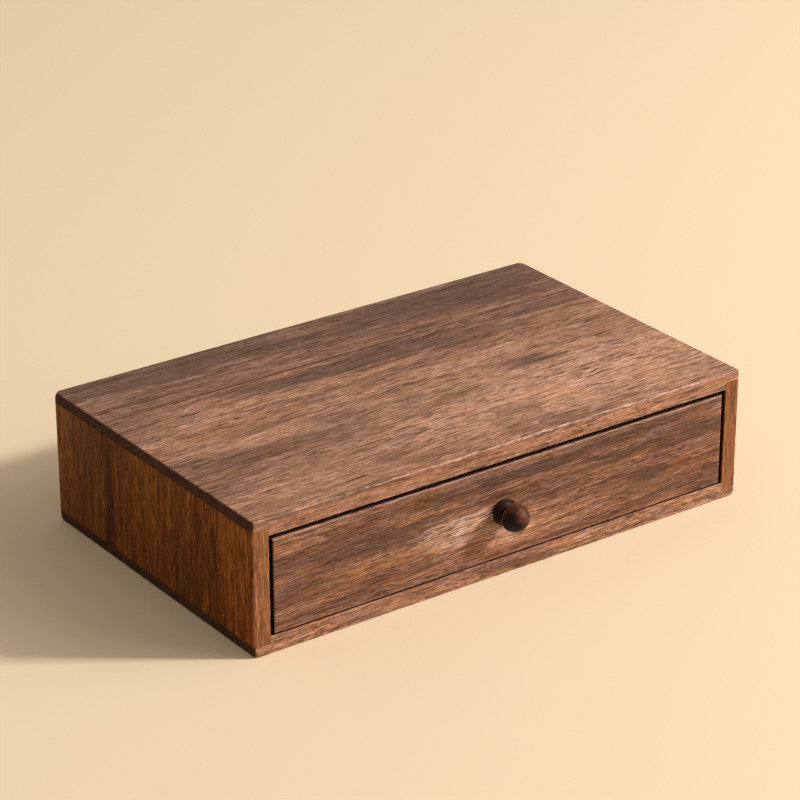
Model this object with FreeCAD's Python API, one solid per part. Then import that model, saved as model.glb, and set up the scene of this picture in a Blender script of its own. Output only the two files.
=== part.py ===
"""Single-drawer wooden puzzle box, in millimetres.

A flat walnut case with rabbeted corners holds one inset drawer with a turned knob. The knob looks
fixed, but its spindle runs through the drawer front and carries a latch arm. Turned up, the arm
stands behind a lock rail under the top and the drawer cannot be pulled; turned level, it is free.

Frame: +X to the right seen from the front, +Y to the back, +Z up. The origin is the centre of the
case's underside. The model is at rest: drawer shut, latch arm level, so unlocked.
"""
import FreeCAD
import Part
import math
import os

V = FreeCAD.Vector

# Case: outer size, board thicknesses and corner joints
CASE_WIDTH = 350.0
CASE_DEPTH = 214.0
CASE_HEIGHT = 84.0
TOP_THICK = 11.0          # top and bottom boards
SIDE_THICK = 10.5
LIP_THICK = 6.5           # what the end rabbets leave of the top and bottom boards
REAR_STAVE = 56.0         # width of the rear board in each glued-up panel
BACK_THICK = 8.0
BACK_RABBET = 9.0         # rabbet for the back panel, measured front to back
BACK_OVERLAP = 4.5        # how far the back panel reaches into each rabbet
FRONT_EASE = 1.0          # rounding of the outer corners and edges
REAR_EASE = 2.5
MOUTH_EASE = 0.6          # rounding round the drawer opening

# Drawer
SIDE_GAP = 2.2            # drawer front to opening, each side
TOP_GAP = 2.6
FOOT_GAP = 0.8
FRONT_THICK = 11.0
FRONT_ROUND = 1.2         # rounding round the face of the drawer front
DRAWER_SIDE_THICK = 9.0
DRAWER_SIDE_INSET = 0.3   # drawer sides stand in from the ends of the drawer front
DRAWER_SIDE_TOP = 62.0
DRAWER_SIDE_ROUND = 1.0
DRAWER_BACK_THICK = 8.0
DRAWER_REAR = 90.0        # rear face of the drawer
STOP_TONGUE_TOP = 69.5    # raised middle of the drawer back, which meets the lock rail
STOP_TONGUE_HALF = 140.0
STOP_TONGUE_SLOPE = 14.0
PANEL_THICK = 4.0         # drawer bottom
PANEL_UNDER = 16.2
GROOVE_DEPTH = 4.0
GROOVE_SLACK = 0.2        # above the drawer bottom
PANEL_SLACK = 0.4         # round the edges of the drawer bottom
FRONT_LAP = 4.0           # what the end rabbets leave of the drawer front
FINGERS = 5
PEG_R = 2.0
PEG_LENGTH = 24.0
PEG_HEIGHTS = (26.5, 52.0)
BRAD_R = 0.8
BRAD_HEAD_R = 1.7
BRAD_HEAD_THICK = 0.7
BRAD_LENGTH = 15.0
BRAD_X = 110.0

# Runners
RUNNER_UNDER = 34.0
RUNNER_HEIGHT = 8.0
RUNNER_REACH = 6.3        # out of the case side
RUNNER_FRONT_GAP = 4.6    # behind the front of the case
RUNNER_PLAY_TOP = 0.15
RUNNER_PLAY_UNDER = 0.45
RUNNER_PLAY_SIDE = 0.7
RUNNER_SCREW_FRONT = 22.0     # first screw behind the front of the case
RUNNER_SCREW_REAR = 18.0      # last screw before the back panel
SCREW_R = 1.2
SCREW_HEAD_R = 2.6
SCREW_HEAD_DEEP = 1.8
SCREW_LENGTH = 12.0
SLOT_WIDTH = 0.7
SLOT_DEEP = 0.6

# Blocks that stop the shut drawer
STOP_GAP = 0.4
STOP_INSET = 2.0
STOP_WIDTH = 14.0
STOP_HEIGHT = 18.0

# Latch
RAIL_HEIGHT = 7.0
RAIL_THICK = 7.0
RAIL_GAP = 0.6            # behind the drawer front
RAIL_SCREW_X = 120.0
SPINDLE_R = 4.0
SPINDLE_PLAY = 0.08
BLOCK_HALF_WIDTH = 17.0
BLOCK_DOWN = 14.0         # below and above the spindle's axis
BLOCK_UP = 18.0
BLOCK_THICK = 8.4
ARM_GAP = 0.3             # between latch block and arm
ARM_THICK = 7.0
ARM_WIDTH = 11.0
ARM_REACH = 29.5
HUB_R = 9.0
STOP_PEG_R = 2.0
STOP_PEG_OUT = 12.0       # from the spindle's axis, along the arm
STOP_PEG_IN = 5.0         # set into the latch block
STOP_PEG_PLAY = 0.15
CROSS_PIN_R = 1.25

# Knob, measured out from the face of the drawer front
KNOB_SHIFT = -3.0         # the knob stands a little left of the middle
KNOB_GAP = 0.2
FLANGE_R = 8.3
FLANGE_THICK = 2.4
NECK_R = 4.3
NECK_OUT = 6.6
HEAD_R = 8.6
HEAD_RIM_OUT = 10.2       # where the head is widest
KNOB_OUT = 19.2

# Places worked out from the dimensions above
HALF_W = CASE_WIDTH / 2
FRONT_Y = -CASE_DEPTH / 2
REAR_Y = CASE_DEPTH / 2
INNER_X = HALF_W - SIDE_THICK
OPENING_LOW = TOP_THICK
OPENING_HIGH = CASE_HEIGHT - TOP_THICK
SEAM_Y = REAR_Y - REAR_STAVE
BACK_FRONT_Y = REAR_Y - BACK_RABBET
FRONT_HALF = INNER_X - SIDE_GAP
FRONT_LOW = OPENING_LOW + FOOT_GAP
FRONT_HIGH = OPENING_HIGH - TOP_GAP
FRONT_REAR_Y = FRONT_Y + FRONT_THICK
LAP_Y = FRONT_Y + FRONT_LAP
SIDE_OUT_X = FRONT_HALF - DRAWER_SIDE_INSET
SIDE_IN_X = SIDE_OUT_X - DRAWER_SIDE_THICK
SIDE_LOW = FRONT_LOW + 0.4
BACK_IN_Y = DRAWER_REAR - DRAWER_BACK_THICK
PANEL_HIGH = PANEL_UNDER + PANEL_THICK
KNOB_X = KNOB_SHIFT
KNOB_Z = (FRONT_LOW + FRONT_HIGH) / 2
BLOCK_REAR_Y = FRONT_REAR_Y + BLOCK_THICK
ARM_FRONT_Y = BLOCK_REAR_Y + ARM_GAP
ARM_REAR_Y = ARM_FRONT_Y + ARM_THICK
LONG = 2 * CASE_WIDTH     # longer than any piece, for cutting tools
TO_RIGHT = V(1, 0, 0)
TO_BACK = V(0, 1, 0)
UPWARD = V(0, 0, 1)


def block(x0, x1, y0, y1, z0, z1):
    """Box between two corners."""
    return Part.makeBox(x1 - x0, y1 - y0, z1 - z0, V(x0, y0, z0))


def rod(start, direction, length, radius):
    """Round rod from start along direction."""
    return Part.makeCylinder(radius, length, start, direction)


def mirrored_x(shape):
    return shape.mirror(V(0, 0, 0), V(1, 0, 0))


def edges_where(shape, test):
    """Edges whose middle point passes the test."""
    return [e for e in shape.Edges if test(e.valueAt((e.FirstParameter + e.LastParameter) / 2))]


def near(a, b):
    return abs(a - b) < 1e-4


def quarter_round(start, length, along, corner_a, corner_b, radius):
    """Cutter that rounds a square edge: the square between the edge and an arc, run along it.

    corner_a and corner_b are unit vectors from the edge into the material.
    """
    centre = start + (corner_a + corner_b) * radius
    a = start + corner_a * radius
    b = start + corner_b * radius
    middle = centre - (corner_a + corner_b) * (radius / math.sqrt(2))
    outline = Part.Wire([
        Part.makeLine(start, a),
        Part.Arc(a, middle, b).toShape(),
        Part.makeLine(b, start),
    ])
    return Part.Face(outline).extrude(along * length)


# ---- Case ---------------------------------------------------------------------------------


def case_envelope():
    """The whole case as one block with its outer edges eased. Every case board is cut to it."""
    shape = block(-HALF_W, HALF_W, FRONT_Y, REAR_Y, 0, CASE_HEIGHT)
    rear_posts = edges_where(shape, lambda p: near(p.y, REAR_Y) and near(abs(p.x), HALF_W))
    shape = shape.makeFillet(REAR_EASE, rear_posts)
    rest = [e for e in shape.Edges if not near(e.BoundBox.ZLength, CASE_HEIGHT)]
    rest += edges_where(shape, lambda p: near(p.y, FRONT_Y) and near(abs(p.x), HALF_W))
    return shape.makeFillet(FRONT_EASE, rest)


def mouth_cutter():
    """Rounds the front edge of the drawer opening, on whichever boards it touches."""
    cutters = [
        quarter_round(V(-INNER_X, FRONT_Y, OPENING_LOW), 2 * INNER_X, TO_RIGHT,
                      TO_BACK, -UPWARD, MOUTH_EASE),
        quarter_round(V(-INNER_X, FRONT_Y, OPENING_HIGH), 2 * INNER_X, TO_RIGHT,
                      TO_BACK, UPWARD, MOUTH_EASE),
    ]
    for side in (-1, 1):
        cutters.append(quarter_round(V(side * INNER_X, FRONT_Y, OPENING_LOW),
                                     OPENING_HIGH - OPENING_LOW, UPWARD,
                                     TO_BACK, V(side, 0, 0), MOUTH_EASE))
    return cutters[0].multiFuse(cutters[1:])


def back_recess():
    """Space of the back panel, with the rabbets it sits in, open to the rear."""
    return block(-INNER_X - BACK_OVERLAP, INNER_X + BACK_OVERLAP, BACK_FRONT_Y, REAR_Y + 1,
                 LIP_THICK, CASE_HEIGHT - LIP_THICK)


def split_at_seam(panel):
    """The two boards a panel is glued up from: front, rear."""
    front = panel.common(block(-LONG, LONG, FRONT_Y - 1, SEAM_Y, -1, LONG))
    rear = panel.common(block(-LONG, LONG, SEAM_Y, REAR_Y + 1, -1, LONG))
    return front, rear


def top_panel():
    """Top or bottom as a top: rabbeted at both ends for the sides and at the rear for the back."""
    panel = block(-HALF_W, HALF_W, FRONT_Y, REAR_Y, OPENING_HIGH, CASE_HEIGHT)
    for side in (-1, 1):
        low, high = sorted((side * INNER_X, side * (HALF_W + 1)))
        panel = panel.cut(block(low, high, FRONT_Y - 1, REAR_Y + 1,
                                OPENING_HIGH - 1, CASE_HEIGHT - LIP_THICK))
    return panel.cut(back_recess())


def bottom_panel():
    return top_panel().mirror(V(0, 0, CASE_HEIGHT / 2), V(0, 0, 1))


def drilled_for_rail(panel):
    for place in rail_screw_places():
        panel = panel.cut(screw_hole(place, UPWARD))
    return panel


def runner_screw_places():
    """Centres of the screw heads in the right-hand runner, front to back."""
    z = RUNNER_UNDER + RUNNER_HEIGHT / 2
    first, last = FRONT_Y + RUNNER_SCREW_FRONT, BACK_FRONT_Y - RUNNER_SCREW_REAR
    return [V(INNER_X - RUNNER_REACH, first + (last - first) * i / 2, z) for i in range(3)]


def rail_screw_places():
    """Centres of the screw heads in the underside of the lock rail."""
    y = FRONT_REAR_Y + RAIL_GAP + RAIL_THICK / 2
    return [V(x, y, OPENING_HIGH - RAIL_HEIGHT) for x in (-RAIL_SCREW_X, 0, RAIL_SCREW_X)]


def pointed(shape, place, direction):
    """Shape built at the origin along +Z, turned along direction and moved to place."""
    shape.Placement = FreeCAD.Placement(place, FreeCAD.Rotation(V(0, 0, 1), direction))
    return shape


def screw_hole(place, direction):
    """Countersunk hole from place along direction."""
    head = Part.makeCone(SCREW_HEAD_R, SCREW_R, SCREW_HEAD_DEEP)
    return pointed(head.fuse(Part.makeCylinder(SCREW_R, SCREW_LENGTH)), place, direction)


def screw(place, direction):
    """Countersunk slotted screw that fills the hole, its head flush."""
    slot = block(-SCREW_HEAD_R, SCREW_HEAD_R, -SLOT_WIDTH / 2, SLOT_WIDTH / 2, -1, SLOT_DEEP)
    return screw_hole(place, direction).cut(pointed(slot, place, direction))


def right_side_panel():
    """Right side, with the back panel's rabbet and pilot holes for the runner's screws."""
    panel = block(INNER_X, HALF_W, FRONT_Y, REAR_Y, LIP_THICK, CASE_HEIGHT - LIP_THICK)
    panel = panel.cut(back_recess())
    for place in runner_screw_places():
        panel = panel.cut(screw_hole(place, TO_RIGHT))
    return panel


def back_panel():
    """Loose-cut back, set a millimetre in from the rear edges."""
    side, rise = INNER_X + BACK_OVERLAP, LIP_THICK
    panel = block(-side, side, BACK_FRONT_Y, BACK_FRONT_Y + BACK_THICK, rise, CASE_HEIGHT - rise)
    rear_edges = edges_where(panel, lambda p: near(p.y, BACK_FRONT_Y + BACK_THICK))
    return panel.makeFillet(0.4, rear_edges)


def right_runner():
    """Hardwood strip that the right drawer side hangs on."""
    strip = block(INNER_X - RUNNER_REACH, INNER_X, FRONT_Y + RUNNER_FRONT_GAP, BACK_FRONT_Y,
                  RUNNER_UNDER, RUNNER_UNDER + RUNNER_HEIGHT)
    front_inner = edges_where(strip, lambda p: near(p.x, INNER_X - RUNNER_REACH)
                              and near(p.y, FRONT_Y + RUNNER_FRONT_GAP))
    strip = strip.makeFillet(3.0, front_inner)
    for place in runner_screw_places():
        strip = strip.cut(screw_hole(place, TO_RIGHT))
    return strip


def runner_screws():
    right = [screw(place, TO_RIGHT) for place in runner_screw_places()]
    return Part.makeCompound(right + [mirrored_x(s) for s in right])


def lock_rail():
    """Rail under the top that the raised latch arm stands behind."""
    front = FRONT_REAR_Y + RAIL_GAP
    rail = block(-INNER_X, INNER_X, front, front + RAIL_THICK, OPENING_HIGH - RAIL_HEIGHT, OPENING_HIGH)
    rail = rail.makeFillet(0.8, edges_where(rail, lambda p: near(p.z, OPENING_HIGH - RAIL_HEIGHT)
                                            and not near(abs(p.x), INNER_X)))
    return drilled_for_rail(rail)


def rail_screws():
    return Part.makeCompound([screw(place, UPWARD) for place in rail_screw_places()])


def drawer_stops():
    """Two blocks in the rear corners that the shut drawer meets."""
    outer_x, high = INNER_X - RUNNER_REACH - STOP_INSET, OPENING_LOW + STOP_HEIGHT
    right = block(outer_x - STOP_WIDTH, outer_x, DRAWER_REAR + STOP_GAP, BACK_FRONT_Y,
                  OPENING_LOW, high)
    right = right.makeChamfer(1.0, edges_where(right, lambda p: near(p.z, high)))
    return Part.makeCompound([right, mirrored_x(right)])


# ---- Drawer -------------------------------------------------------------------------------


def peg_places():
    """Outer ends of the pegs that hold the right drawer side to the front."""
    y = (LAP_Y + FRONT_REAR_Y) / 2
    return [V(SIDE_OUT_X, y, z) for z in PEG_HEIGHTS]


def peg(place):
    """Peg with a slightly domed outer end."""
    shape = rod(place, -TO_RIGHT, PEG_LENGTH, PEG_R)
    return shape.makeFillet(0.3, [e for e in shape.Edges if near(e.BoundBox.XLength, 0)])


def peg_holes():
    right = [rod(place, -TO_RIGHT, PEG_LENGTH, PEG_R) for place in peg_places()]
    return Part.makeCompound(right + [mirrored_x(hole) for hole in right])


def runner_grooves():
    """Grooves in the outer faces of both drawer sides, open at both ends."""
    inner = INNER_X - RUNNER_REACH - RUNNER_PLAY_SIDE
    right = block(inner, SIDE_OUT_X + 1, LAP_Y - 1, DRAWER_REAR + 1,
                  RUNNER_UNDER - RUNNER_PLAY_UNDER, RUNNER_UNDER + RUNNER_HEIGHT + RUNNER_PLAY_TOP)
    return Part.makeCompound([right, mirrored_x(right)])


def bottom_groove():
    """Groove for the drawer bottom, round the front and both sides, open at the rear."""
    reach = SIDE_IN_X + GROOVE_DEPTH
    return block(-reach, reach, FRONT_REAR_Y - GROOVE_DEPTH, DRAWER_REAR + 1,
                 PANEL_UNDER, PANEL_HIGH + GROOVE_SLACK)


def spindle_hole():
    return rod(V(KNOB_X, FRONT_Y - 1, KNOB_Z), TO_BACK, FRONT_THICK + BLOCK_THICK + 2,
               SPINDLE_R + SPINDLE_PLAY)


def drawer_front():
    """Inset front with eased edges, lapped at both ends for the drawer sides."""
    front = block(-FRONT_HALF, FRONT_HALF, FRONT_Y, FRONT_REAR_Y, FRONT_LOW, FRONT_HIGH)
    posts = edges_where(front, lambda p: near(p.y, FRONT_Y) and near(abs(p.x), FRONT_HALF))
    rails = edges_where(front, lambda p: near(p.y, FRONT_Y) and not near(abs(p.x), FRONT_HALF))
    front = front.makeFillet(FRONT_ROUND, posts + rails)
    for side in (-1, 1):
        low, high = sorted((side * SIDE_IN_X, side * (FRONT_HALF + 1)))
        front = front.cut(block(low, high, LAP_Y, FRONT_REAR_Y + 1, FRONT_LOW - 1, DRAWER_SIDE_TOP))
    return front.cut(bottom_groove()).cut(spindle_hole()).cut(peg_holes())


def finger_band(index):
    """Low and high edge of one finger of the joint between drawer side and back."""
    pitch = (DRAWER_SIDE_TOP - PANEL_HIGH) / FINGERS
    return PANEL_HIGH + index * pitch, PANEL_HIGH + (index + 1) * pitch


def drawer_right_side():
    """Side with a finger-jointed rear end, grooved outside for the runner and inside for the bottom."""
    side = block(SIDE_IN_X, SIDE_OUT_X, LAP_Y, DRAWER_REAR, SIDE_LOW, DRAWER_SIDE_TOP)
    top_edges = edges_where(side, lambda p: near(p.z, DRAWER_SIDE_TOP)
                            and (near(p.x, SIDE_IN_X) or near(p.x, SIDE_OUT_X)))
    side = side.makeFillet(DRAWER_SIDE_ROUND, top_edges)
    side = side.cut(runner_grooves()).cut(bottom_groove()).cut(peg_holes())
    for index in range(0, FINGERS, 2):
        low, high = finger_band(index)
        side = side.cut(block(SIDE_IN_X - 1, SIDE_OUT_X + 1, BACK_IN_Y, DRAWER_REAR + 1, low, high))
    return side


def drawer_back():
    """Back that stands on the drawer bottom, with fingers at the ends and a raised middle."""
    back = block(-SIDE_IN_X, SIDE_IN_X, BACK_IN_Y, DRAWER_REAR, PANEL_HIGH, DRAWER_SIDE_TOP)
    for index in range(0, FINGERS, 2):
        low, high = finger_band(index)
        back = back.fuse(block(-SIDE_OUT_X, SIDE_OUT_X, BACK_IN_Y, DRAWER_REAR, low, high))
    half, slope = STOP_TONGUE_HALF, STOP_TONGUE_SLOPE
    outline = Part.makePolygon([
        V(-half, BACK_IN_Y, DRAWER_SIDE_TOP), V(half, BACK_IN_Y, DRAWER_SIDE_TOP),
        V(half - slope, BACK_IN_Y, STOP_TONGUE_TOP), V(slope - half, BACK_IN_Y, STOP_TONGUE_TOP),
        V(-half, BACK_IN_Y, DRAWER_SIDE_TOP),
    ])
    tongue = Part.Face(outline).extrude(V(0, DRAWER_BACK_THICK, 0))
    back = back.fuse(tongue).removeSplitter()
    for place in brad_places():
        back = back.cut(brad(place))
    return back.cut(runner_grooves())


def drawer_bottom():
    """Thin panel in the grooves, running out under the back."""
    reach = SIDE_IN_X + GROOVE_DEPTH - PANEL_SLACK
    panel = block(-reach, reach, FRONT_REAR_Y - GROOVE_DEPTH + PANEL_SLACK, DRAWER_REAR - PANEL_SLACK,
                  PANEL_UNDER, PANEL_HIGH)
    for place in brad_places():
        panel = panel.cut(brad(place))
    return panel


def brad_places():
    """Where brads go up through the bottom into the back."""
    y = (BACK_IN_Y + DRAWER_REAR) / 2
    return [V(x, y, PANEL_UNDER) for x in (-BRAD_X, 0, BRAD_X)]


def brad(place):
    """Flat-headed brad, its head flush with the underside of the drawer bottom."""
    head = rod(place, UPWARD, BRAD_HEAD_THICK, BRAD_HEAD_R)
    return head.fuse(rod(place, UPWARD, BRAD_LENGTH, BRAD_R))


# ---- Latch and knob -----------------------------------------------------------------------


def latch_block():
    """Bearing block glued behind the drawer front, bored for the spindle and the stop pegs."""
    shape = block(KNOB_X - BLOCK_HALF_WIDTH, KNOB_X + BLOCK_HALF_WIDTH, FRONT_REAR_Y, BLOCK_REAR_Y,
                  KNOB_Z - BLOCK_DOWN, KNOB_Z + BLOCK_UP)
    shape = shape.makeChamfer(1.5, edges_where(shape, lambda p: near(p.y, BLOCK_REAR_Y)))
    shape = shape.cut(spindle_hole())
    for stop in stop_pegs():
        shape = shape.cut(stop)
    return shape


def stop_pegs():
    """Two pegs that end the arm's quarter turn: one under it when level, one beside it when up."""
    off = ARM_WIDTH / 2 + STOP_PEG_R + STOP_PEG_PLAY
    start_y = BLOCK_REAR_Y - STOP_PEG_IN
    places = [V(KNOB_X + STOP_PEG_OUT, start_y, KNOB_Z - off),
              V(KNOB_X - off, start_y, KNOB_Z + STOP_PEG_OUT)]
    pegs = []
    for place in places:
        shape = rod(place, TO_BACK, STOP_PEG_IN + ARM_GAP + ARM_THICK, STOP_PEG_R)
        pegs.append(shape.makeFillet(0.5, [e for e in shape.Edges if near(e.BoundBox.YMin, ARM_REAR_Y)]))
    return pegs


def cross_pin():
    """Pin through the arm's hub and the spindle."""
    y = (ARM_FRONT_Y + ARM_REAR_Y) / 2
    length = 2 * HUB_R - 1.0
    return rod(V(KNOB_X, y, KNOB_Z - length / 2), UPWARD, length, CROSS_PIN_R)


def latch_arm():
    """Arm with a round hub, pointing along +X, its tip rounded."""
    tip_x = KNOB_X + ARM_REACH
    hub = rod(V(KNOB_X, ARM_FRONT_Y, KNOB_Z), TO_BACK, ARM_THICK, HUB_R)
    half = ARM_WIDTH / 2
    bar = block(KNOB_X, tip_x, ARM_FRONT_Y, ARM_REAR_Y, KNOB_Z - half, KNOB_Z + half)
    bar = bar.makeFillet(2.0, edges_where(bar, lambda p: near(p.x, tip_x)
                                          and near(abs(p.z - KNOB_Z), half)))
    arm = hub.fuse(bar).removeSplitter()
    arm = arm.cut(rod(V(KNOB_X, ARM_FRONT_Y - 1, KNOB_Z), TO_BACK, ARM_THICK + 2, SPINDLE_R))
    return arm.cut(cross_pin())


def knob():
    """Turned in one piece: domed head, neck, flange and the spindle behind them."""
    def at(radius, out):
        return V(KNOB_X + radius, FRONT_Y - KNOB_GAP - out, KNOB_Z)

    dome = Part.Ellipse(at(0, KNOB_OUT), at(HEAD_R, HEAD_RIM_OUT), at(0, HEAD_RIM_OUT))
    dome_edge = Part.ArcOfEllipse(dome, 0, math.pi / 2).toShape()
    pole = dome_edge.Vertexes[0].Point
    rim = dome_edge.Vertexes[-1].Point
    under_rim = at(HEAD_R - 0.5, HEAD_RIM_OUT - 1.5)
    neck_top = at(NECK_R, NECK_OUT + 0.5)
    neck_low = at(NECK_R + 0.2, NECK_OUT - 1.4)
    flange_top = at(FLANGE_R - 0.7, FLANGE_THICK)
    flange_side = at(FLANGE_R, FLANGE_THICK - 0.7)
    edges = [
        dome_edge,
        Part.Arc(rim, at(HEAD_R - 0.1, HEAD_RIM_OUT - 0.8), under_rim).toShape(),
        Part.Arc(under_rim, at(NECK_R + 0.9, NECK_OUT + 1.2), neck_top).toShape(),
        Part.makeLine(neck_top, neck_low),
        Part.Arc(neck_low, at(NECK_R + 0.9, FLANGE_THICK + 1.2), flange_top).toShape(),
        Part.Arc(flange_top, at(FLANGE_R - 0.2, FLANGE_THICK - 0.2), flange_side).toShape(),
        Part.makeLine(flange_side, at(FLANGE_R, 0)),
        Part.makeLine(at(FLANGE_R, 0), at(SPINDLE_R, 0)),
        Part.makeLine(at(SPINDLE_R, 0), V(KNOB_X + SPINDLE_R, ARM_REAR_Y, KNOB_Z)),
        Part.makeLine(V(KNOB_X + SPINDLE_R, ARM_REAR_Y, KNOB_Z), V(KNOB_X, ARM_REAR_Y, KNOB_Z)),
        Part.makeLine(V(KNOB_X, ARM_REAR_Y, KNOB_Z), pole),
    ]
    profile = Part.Face(Part.Wire(Part.sortEdges(edges)[0]))
    body = profile.revolve(V(KNOB_X, 0, KNOB_Z), TO_BACK, 360)
    return body.cut(cross_pin())


# ---- Put together and write ---------------------------------------------------------------


def case_nodes():
    envelope = case_envelope()
    mouth = mouth_cutter()
    right = right_side_panel()
    panels = {
        "top_board": drilled_for_rail(top_panel()),
        "bottom_board": bottom_panel(),
        "right_side_board": right,
        "left_side_board": mirrored_x(right),
    }
    nodes = {}
    for name, panel in panels.items():
        front, rear = split_at_seam(panel.common(envelope).cut(mouth))
        nodes[name + "_front"] = front
        nodes[name + "_rear"] = rear
    nodes["back_panel"] = back_panel()
    nodes["right_runner"] = right_runner()
    nodes["left_runner"] = mirrored_x(right_runner())
    nodes["runner_screws"] = runner_screws()
    nodes["lock_rail"] = lock_rail()
    nodes["rail_screws"] = rail_screws()
    nodes["drawer_stops"] = drawer_stops()
    return nodes


def drawer_nodes():
    right_pegs = [peg(place) for place in peg_places()]
    return {
        "drawer_front": drawer_front(),
        "drawer_right_side": drawer_right_side(),
        "drawer_left_side": mirrored_x(drawer_right_side()),
        "drawer_back": drawer_back(),
        "drawer_bottom": drawer_bottom(),
        "drawer_pegs": Part.makeCompound(right_pegs + [mirrored_x(p) for p in right_pegs]),
        "bottom_brads": Part.makeCompound([brad(place) for place in brad_places()]),
        "latch_block": latch_block(),
        "latch_stop_pegs": Part.makeCompound(stop_pegs()),
    }


def knob_nodes():
    return {"knob": knob(), "latch_arm": latch_arm(), "latch_cross_pin": cross_pin()}


def main():
    os.makedirs("parts", exist_ok=True)
    nodes = {**case_nodes(), **drawer_nodes(), **knob_nodes()}
    for name, shape in nodes.items():
        solids = shape.Solids
        if not solids or not all(s.isValid() and s.Volume > 0 for s in solids):
            raise ValueError(f"{name} is not made of valid solids")
        out = solids[0] if len(solids) == 1 else Part.makeCompound(solids)
        out.exportStep(f"parts/{name}.step")
        print(f"{name}: {len(solids)} solid(s), {sum(s.Volume for s in solids):.0f} mm3")


main()
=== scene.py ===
"""Looks for the single-drawer walnut puzzle box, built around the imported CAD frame.

The boards that show are rebuilt from the frame's boxes with eased arrises, fine joint lines and slightly
uneven edges. Every piece gets a procedural wood or metal. Lengths are in metres, and a number times MM is
in millimetres. An angle whose name ends in _deg or _DEG is in degrees.
"""
import math
from collections import namedtuple
from itertools import product

import bmesh
import bpy
from mathutils import Euler, Matrix, Vector, noise


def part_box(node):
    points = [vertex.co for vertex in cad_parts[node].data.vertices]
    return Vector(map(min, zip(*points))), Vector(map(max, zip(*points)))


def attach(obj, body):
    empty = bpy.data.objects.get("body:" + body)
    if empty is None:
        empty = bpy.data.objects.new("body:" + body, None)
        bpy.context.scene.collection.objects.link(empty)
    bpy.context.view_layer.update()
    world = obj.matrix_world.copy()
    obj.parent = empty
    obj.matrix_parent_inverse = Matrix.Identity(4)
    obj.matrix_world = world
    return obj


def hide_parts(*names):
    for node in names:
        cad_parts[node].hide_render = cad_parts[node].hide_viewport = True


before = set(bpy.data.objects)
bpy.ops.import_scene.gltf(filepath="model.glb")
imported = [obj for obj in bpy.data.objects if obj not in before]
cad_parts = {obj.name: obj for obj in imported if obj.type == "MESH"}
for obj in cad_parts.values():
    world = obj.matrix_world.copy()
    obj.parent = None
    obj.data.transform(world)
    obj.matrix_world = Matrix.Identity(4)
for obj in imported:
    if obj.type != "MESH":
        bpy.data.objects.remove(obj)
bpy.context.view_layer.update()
MM = 0.001


# ---- Places and sizes, worked out from the frame --------------------------------------------


def merged(*boxes):
    """Smallest box round several boxes."""
    low = Vector([min(b[0][a] for b in boxes) for a in range(3)])
    high = Vector([max(b[1][a] for b in boxes) for a in range(3)])
    return low, high


def box_with(base, **limits):
    """Copy of a box with some limits replaced, as in box_with(b, x0=..., z1=...)."""
    corners = [list(base[0]), list(base[1])]
    for name, value in limits.items():
        corners[int(name[1])]["xyz".index(name[0])] = value
    return Vector(corners[0]), Vector(corners[1])


CASE_BOARDS = [
    f"{panel}_{part}"
    for panel in ("top_board", "bottom_board", "left_side_board", "right_side_board")
    for part in ("front", "rear")
]
case = merged(*(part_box(name) for name in CASE_BOARDS))
WIDTH = case[1].x - case[0].x
right_side = merged(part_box("right_side_board_front"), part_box("right_side_board_rear"))
top_box = merged(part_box("top_board_front"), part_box("top_board_rear"))
bottom_box = merged(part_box("bottom_board_front"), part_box("bottom_board_rear"))
front_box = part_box("drawer_front")
back_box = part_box("back_panel")
knob_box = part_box("knob")
drawer_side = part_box("drawer_right_side")
INNER_X = right_side[0].x
KNOB_X = (knob_box[0].x + knob_box[1].x) / 2
KNOB_Z = (knob_box[0].z + knob_box[1].z) / 2
SEAM_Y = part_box("top_board_rear")[0].y

ARRIS = 1.2 * MM          # rounding of the case's outer edges
END_ARRIS = 1.5 * MM      # rounding of the top's and bottom's ends, where the end grain wears
REAR_POST = 2.5 * MM      # rounding of the case's rear corners, in plan
MOUTH = 0.55 * MM         # rounding above and below the drawer opening
JOINT = 0.08 * MM         # easing left along joint lines
SEAM = 0.32 * MM          # easing along the seams between front and rear boards
TOP_SEAM = 0.52 * MM      # easing along the seam of the top, where hands rub
FACE_ROUND = 1.3 * MM     # rounding round the face of the drawer front, half as much along its lower edge
LAP_EASE = 0.3 * MM       # easing of the drawer front's other edges
PANEL_EASE = 0.4 * MM     # easing of the back panel
REAR_BALL = 3.0 * MM      # radius of the rounding at the case's rear corners
FOOT_BALL = 2.2 * MM      # the same at the front's lower corners
BROW_BALL = 1.4 * MM      # the same at the front's upper corners
BALL_BLEND = 0.45         # share of a corner's radius over which its rounding sets in
SPINDLE_R = 4 * MM        # radius of the knob's spindle
BORE_R = 4.08 * MM        # radius of the spindle's hole in the drawer front
GRID = 5 * MM             # spacing of the mesh on flat faces
NEAR_ARRIS = 1.7 * MM     # first mesh line beside an arris
WEAR_REACH = 2.2 * MM     # how far edge wear, with its painted highlight, fades into the faces
UNEVEN = 0.16 * MM        # how far an arris wanders inwards
FLATNESS = 0.025 * MM     # how far a flat face wanders inwards
REAR_WEAR_GLINT = 0.75           # how much wear and painted highlight the arrises behind the front get
LOW_WEAR_GLINT = 1.05            # the same for the front's lower arrises
TOP_WEAR_GLINT = 0.62            # the same for the top's front arris, at its far ends
MORE_WEAR_GLINT = 0.34           # how much more wear and painted highlight the top's front arris gets at the place set next
GLINT_X = 60 * MM           # where along the top that is
GLINT_REACH = 85 * MM       # how far from there it fades
FRONT_DEPTH = 3 * MM      # an arris further back than this isn't one of the front's
LOW_HEIGHT = 5 * MM       # up to this far above the top board's underside, an arris is a lower one
FRONT_JOINT = 0.3         # how dark joint lines are at the front, where 1 is the others'
ROUNDED = 0.985           # a normal with no part above this lies on a rounding
FOLD = 0.1                # an edge that turns by more than this many radians is rounded
SHARP_DEG = 50            # edges sharper than this are shaded sharp
SAME = 0.01 * MM          # points and planes closer than this are the same
WELD = 0.001 * MM         # mesh points closer than this are merged
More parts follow.
